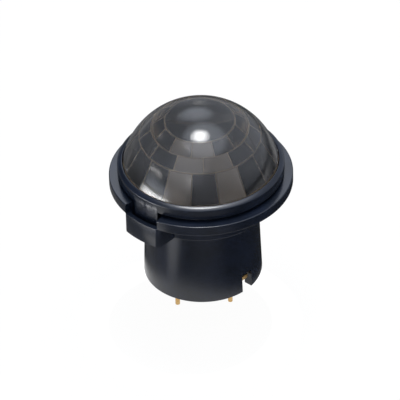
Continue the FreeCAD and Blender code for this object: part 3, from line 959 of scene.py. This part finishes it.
    @staticmethod
    def tent(scene, settings):
        """White to the camera; as a light it is a dim room with a pale back wall and soft pale patches."""
        world = bpy.data.worlds.new("Light tent")
        world.use_nodes = True
        tree = world.node_tree
        tree.nodes.clear()
        heading = add(tree, "ShaderNodeTexCoord").outputs["Generated"]
        way = add(tree, "ShaderNodeSeparateXYZ", (heading,))
        known = {}
        # Levels that change with the height or the depth of the direction
        for name, axis, start, end, first, last in [
                ("back", "Y", 0.0, 0.7, 0.0, 0.27),
                ("low", "Z", 0.05, 0.45, 1.0, 0.0),
                ("horizon", "Z", 0.0, 0.28, 0.22, 0.0),
        ]:
            known[name] = add(tree, "ShaderNodeMapRange", {
                "Value": way.outputs[axis], "From Min": start, "From Max": end,
                "To Min": first, "To Max": last})
        # Soft patches: the direction of the middle, the cosines of the rim and of the full level, the level
        for name, toward, least, most, level in [
                ("fill", (-0.67, -0.67, 0.3), 0.2, 0.95, 0.35),
                ("ceiling", (0.10, 0.02, 0.995), 0.84, 0.95, settings.glow_level),
                ("rear", (-0.03, 0.74, 0.67), 0.94, 1.0, settings.back_level),
                ("left", LEFTWARD, LEFT_EDGE, 1.0, settings.left_level),
                ("right", (0.88, 0.25, 0.40), 0.3, 0.95, 0.6),
                ("front", (-0.35, -0.60, 0.72), 0.8, 1.0, settings.front_level),
        ]:
            fit = add(tree, "ShaderNodeVectorMath", (heading, toward), operation="DOT_PRODUCT")
            known[name] = add(tree, "ShaderNodeMapRange", {
                "Value": fit.outputs["Value"], "From Min": least, "From Max": most, "To Max": level},
                interpolation_type="SMOOTHSTEP")
        for result, *terms in [("wall", "back", "low"), ("left panel", "left", "horizon")]:
            terms = [known[term] for term in terms]
            known[result] = add(tree, "ShaderNodeMath", terms, operation="MULTIPLY")
        level = known["wall"]
        for patch in ("fill", "ceiling", "rear", "left panel", "right", "front"):
            level = add(tree, "ShaderNodeMath", (level, known[patch]), operation="ADD")
        room = add(tree, "ShaderNodeMath", (level, 0.05), operation="ADD")
        camera = add(tree, "ShaderNodeLightPath").outputs["Is Camera Ray"]
        strength = add(tree, "ShaderNodeMath", (room, camera), operation="MAXIMUM")
        tone = add(tree, "ShaderNodeMix", {
            6: linear("DAE0EC"), 7: linear("FFFFFF"), "Factor": camera}, data_type="RGBA")
        sky = add(tree, "ShaderNodeBackground", {"Color": tone.outputs[2], "Strength": strength})
        add(tree, "ShaderNodeOutputWorld", (sky,))
        scene.world = world

    @staticmethod
    def panel(place, size, power):
        """One round softbox that faces the sensor, a little narrower than it is wide."""
        light = bpy.data.lights.new("Overhead softbox", "AREA")
        light.shape, light.size, light.size_y, light.energy = "ELLIPSE", size, size * 0.92, power
        lamp = bpy.data.objects.new("Overhead softbox", light)
        lamp.location = place
        lamp.rotation_mode = "QUATERNION"
        lamp.rotation_quaternion = (place - LIGHT_TARGET).to_track_quat("Z", "Y")
        bpy.context.scene.collection.objects.link(lamp)

    @staticmethod
    def camera(scene, settings):
        """The photograph's view: a long lens at about 38 degrees, leaning a little."""
        turn, rise, roll = settings.camera_azimuth, settings.camera_elevation, settings.camera_roll
        back = Vector((math.sin(turn) * math.cos(rise), -math.cos(turn) * math.cos(rise), math.sin(rise)))
        right = Vector((math.cos(turn), math.sin(turn), 0.0))
        up = back.cross(right)
        cosine, sine = math.cos(roll), math.sin(roll)
        right, up = cosine * right - sine * up, sine * right + cosine * up
        target = CAMERA_TARGET - right * SHIFT_RIGHT * MM - up * SHIFT_UP * MM
        lens = bpy.data.cameras.new("Camera")
        lens.lens, lens.sensor_width, lens.clip_start, lens.clip_end = 415.0, 36.0, 0.01, 20.0
        camera = bpy.data.objects.new("Camera", lens)
        scene.collection.objects.link(camera)
        camera.matrix_world = Matrix((right, up, back)).transposed().to_4x4()
        camera.location = target + back * settings.camera_distance
        scene.camera = camera


class SENSOR_PT_panel(bpy.types.Panel):
    """The sensor's steps, in the sidebar of the 3D view"""
    bl_idname = "SENSOR_PT_panel"
    bl_label = "Motion Sensor"
    bl_space_type = "VIEW_3D"
    bl_region_type = "UI"
    bl_category = "Sensor"

    def draw(self, context):
        scene = context.scene
        for group, names in (
                (scene.sensor_lens, ("radius", "wall", "index", "smoke_tint", "smoke_density", "haze")),
                (scene.sensor_body, ("flange_round", "ring_round", "plastic_dark", "plastic_light")),
                (scene.sensor_stage, ("camera_azimuth", "camera_elevation", "overhead_power"))):
            for name in names:
                self.layout.prop(group, name)
        for step in STEPS:
            self.layout.operator(step.bl_idname)


STEPS = (SENSOR_OT_lens, SENSOR_OT_ring, SENSOR_OT_housing, SENSOR_OT_detector, SENSOR_OT_stage)
CLASSES = (SENSOR_PG_lens, SENSOR_PG_body, SENSOR_PG_stage, *STEPS, SENSOR_PT_panel)


def register():
    for item in CLASSES:
        bpy.utils.register_class(item)
    bpy.types.Scene.sensor_lens = PointerProperty(type=SENSOR_PG_lens)
    bpy.types.Scene.sensor_body = PointerProperty(type=SENSOR_PG_body)
    bpy.types.Scene.sensor_stage = PointerProperty(type=SENSOR_PG_stage)


def unregister():
    del bpy.types.Scene.sensor_stage
    del bpy.types.Scene.sensor_body
    del bpy.types.Scene.sensor_lens
    for item in reversed(CLASSES):
        bpy.utils.unregister_class(item)


def main():
    register()
    bpy.ops.sensor.lens()
    bpy.ops.sensor.ring()
    bpy.ops.sensor.housing()
    bpy.ops.sensor.detector()
    bpy.ops.sensor.stage()


if __name__ == "__main__":
    main()
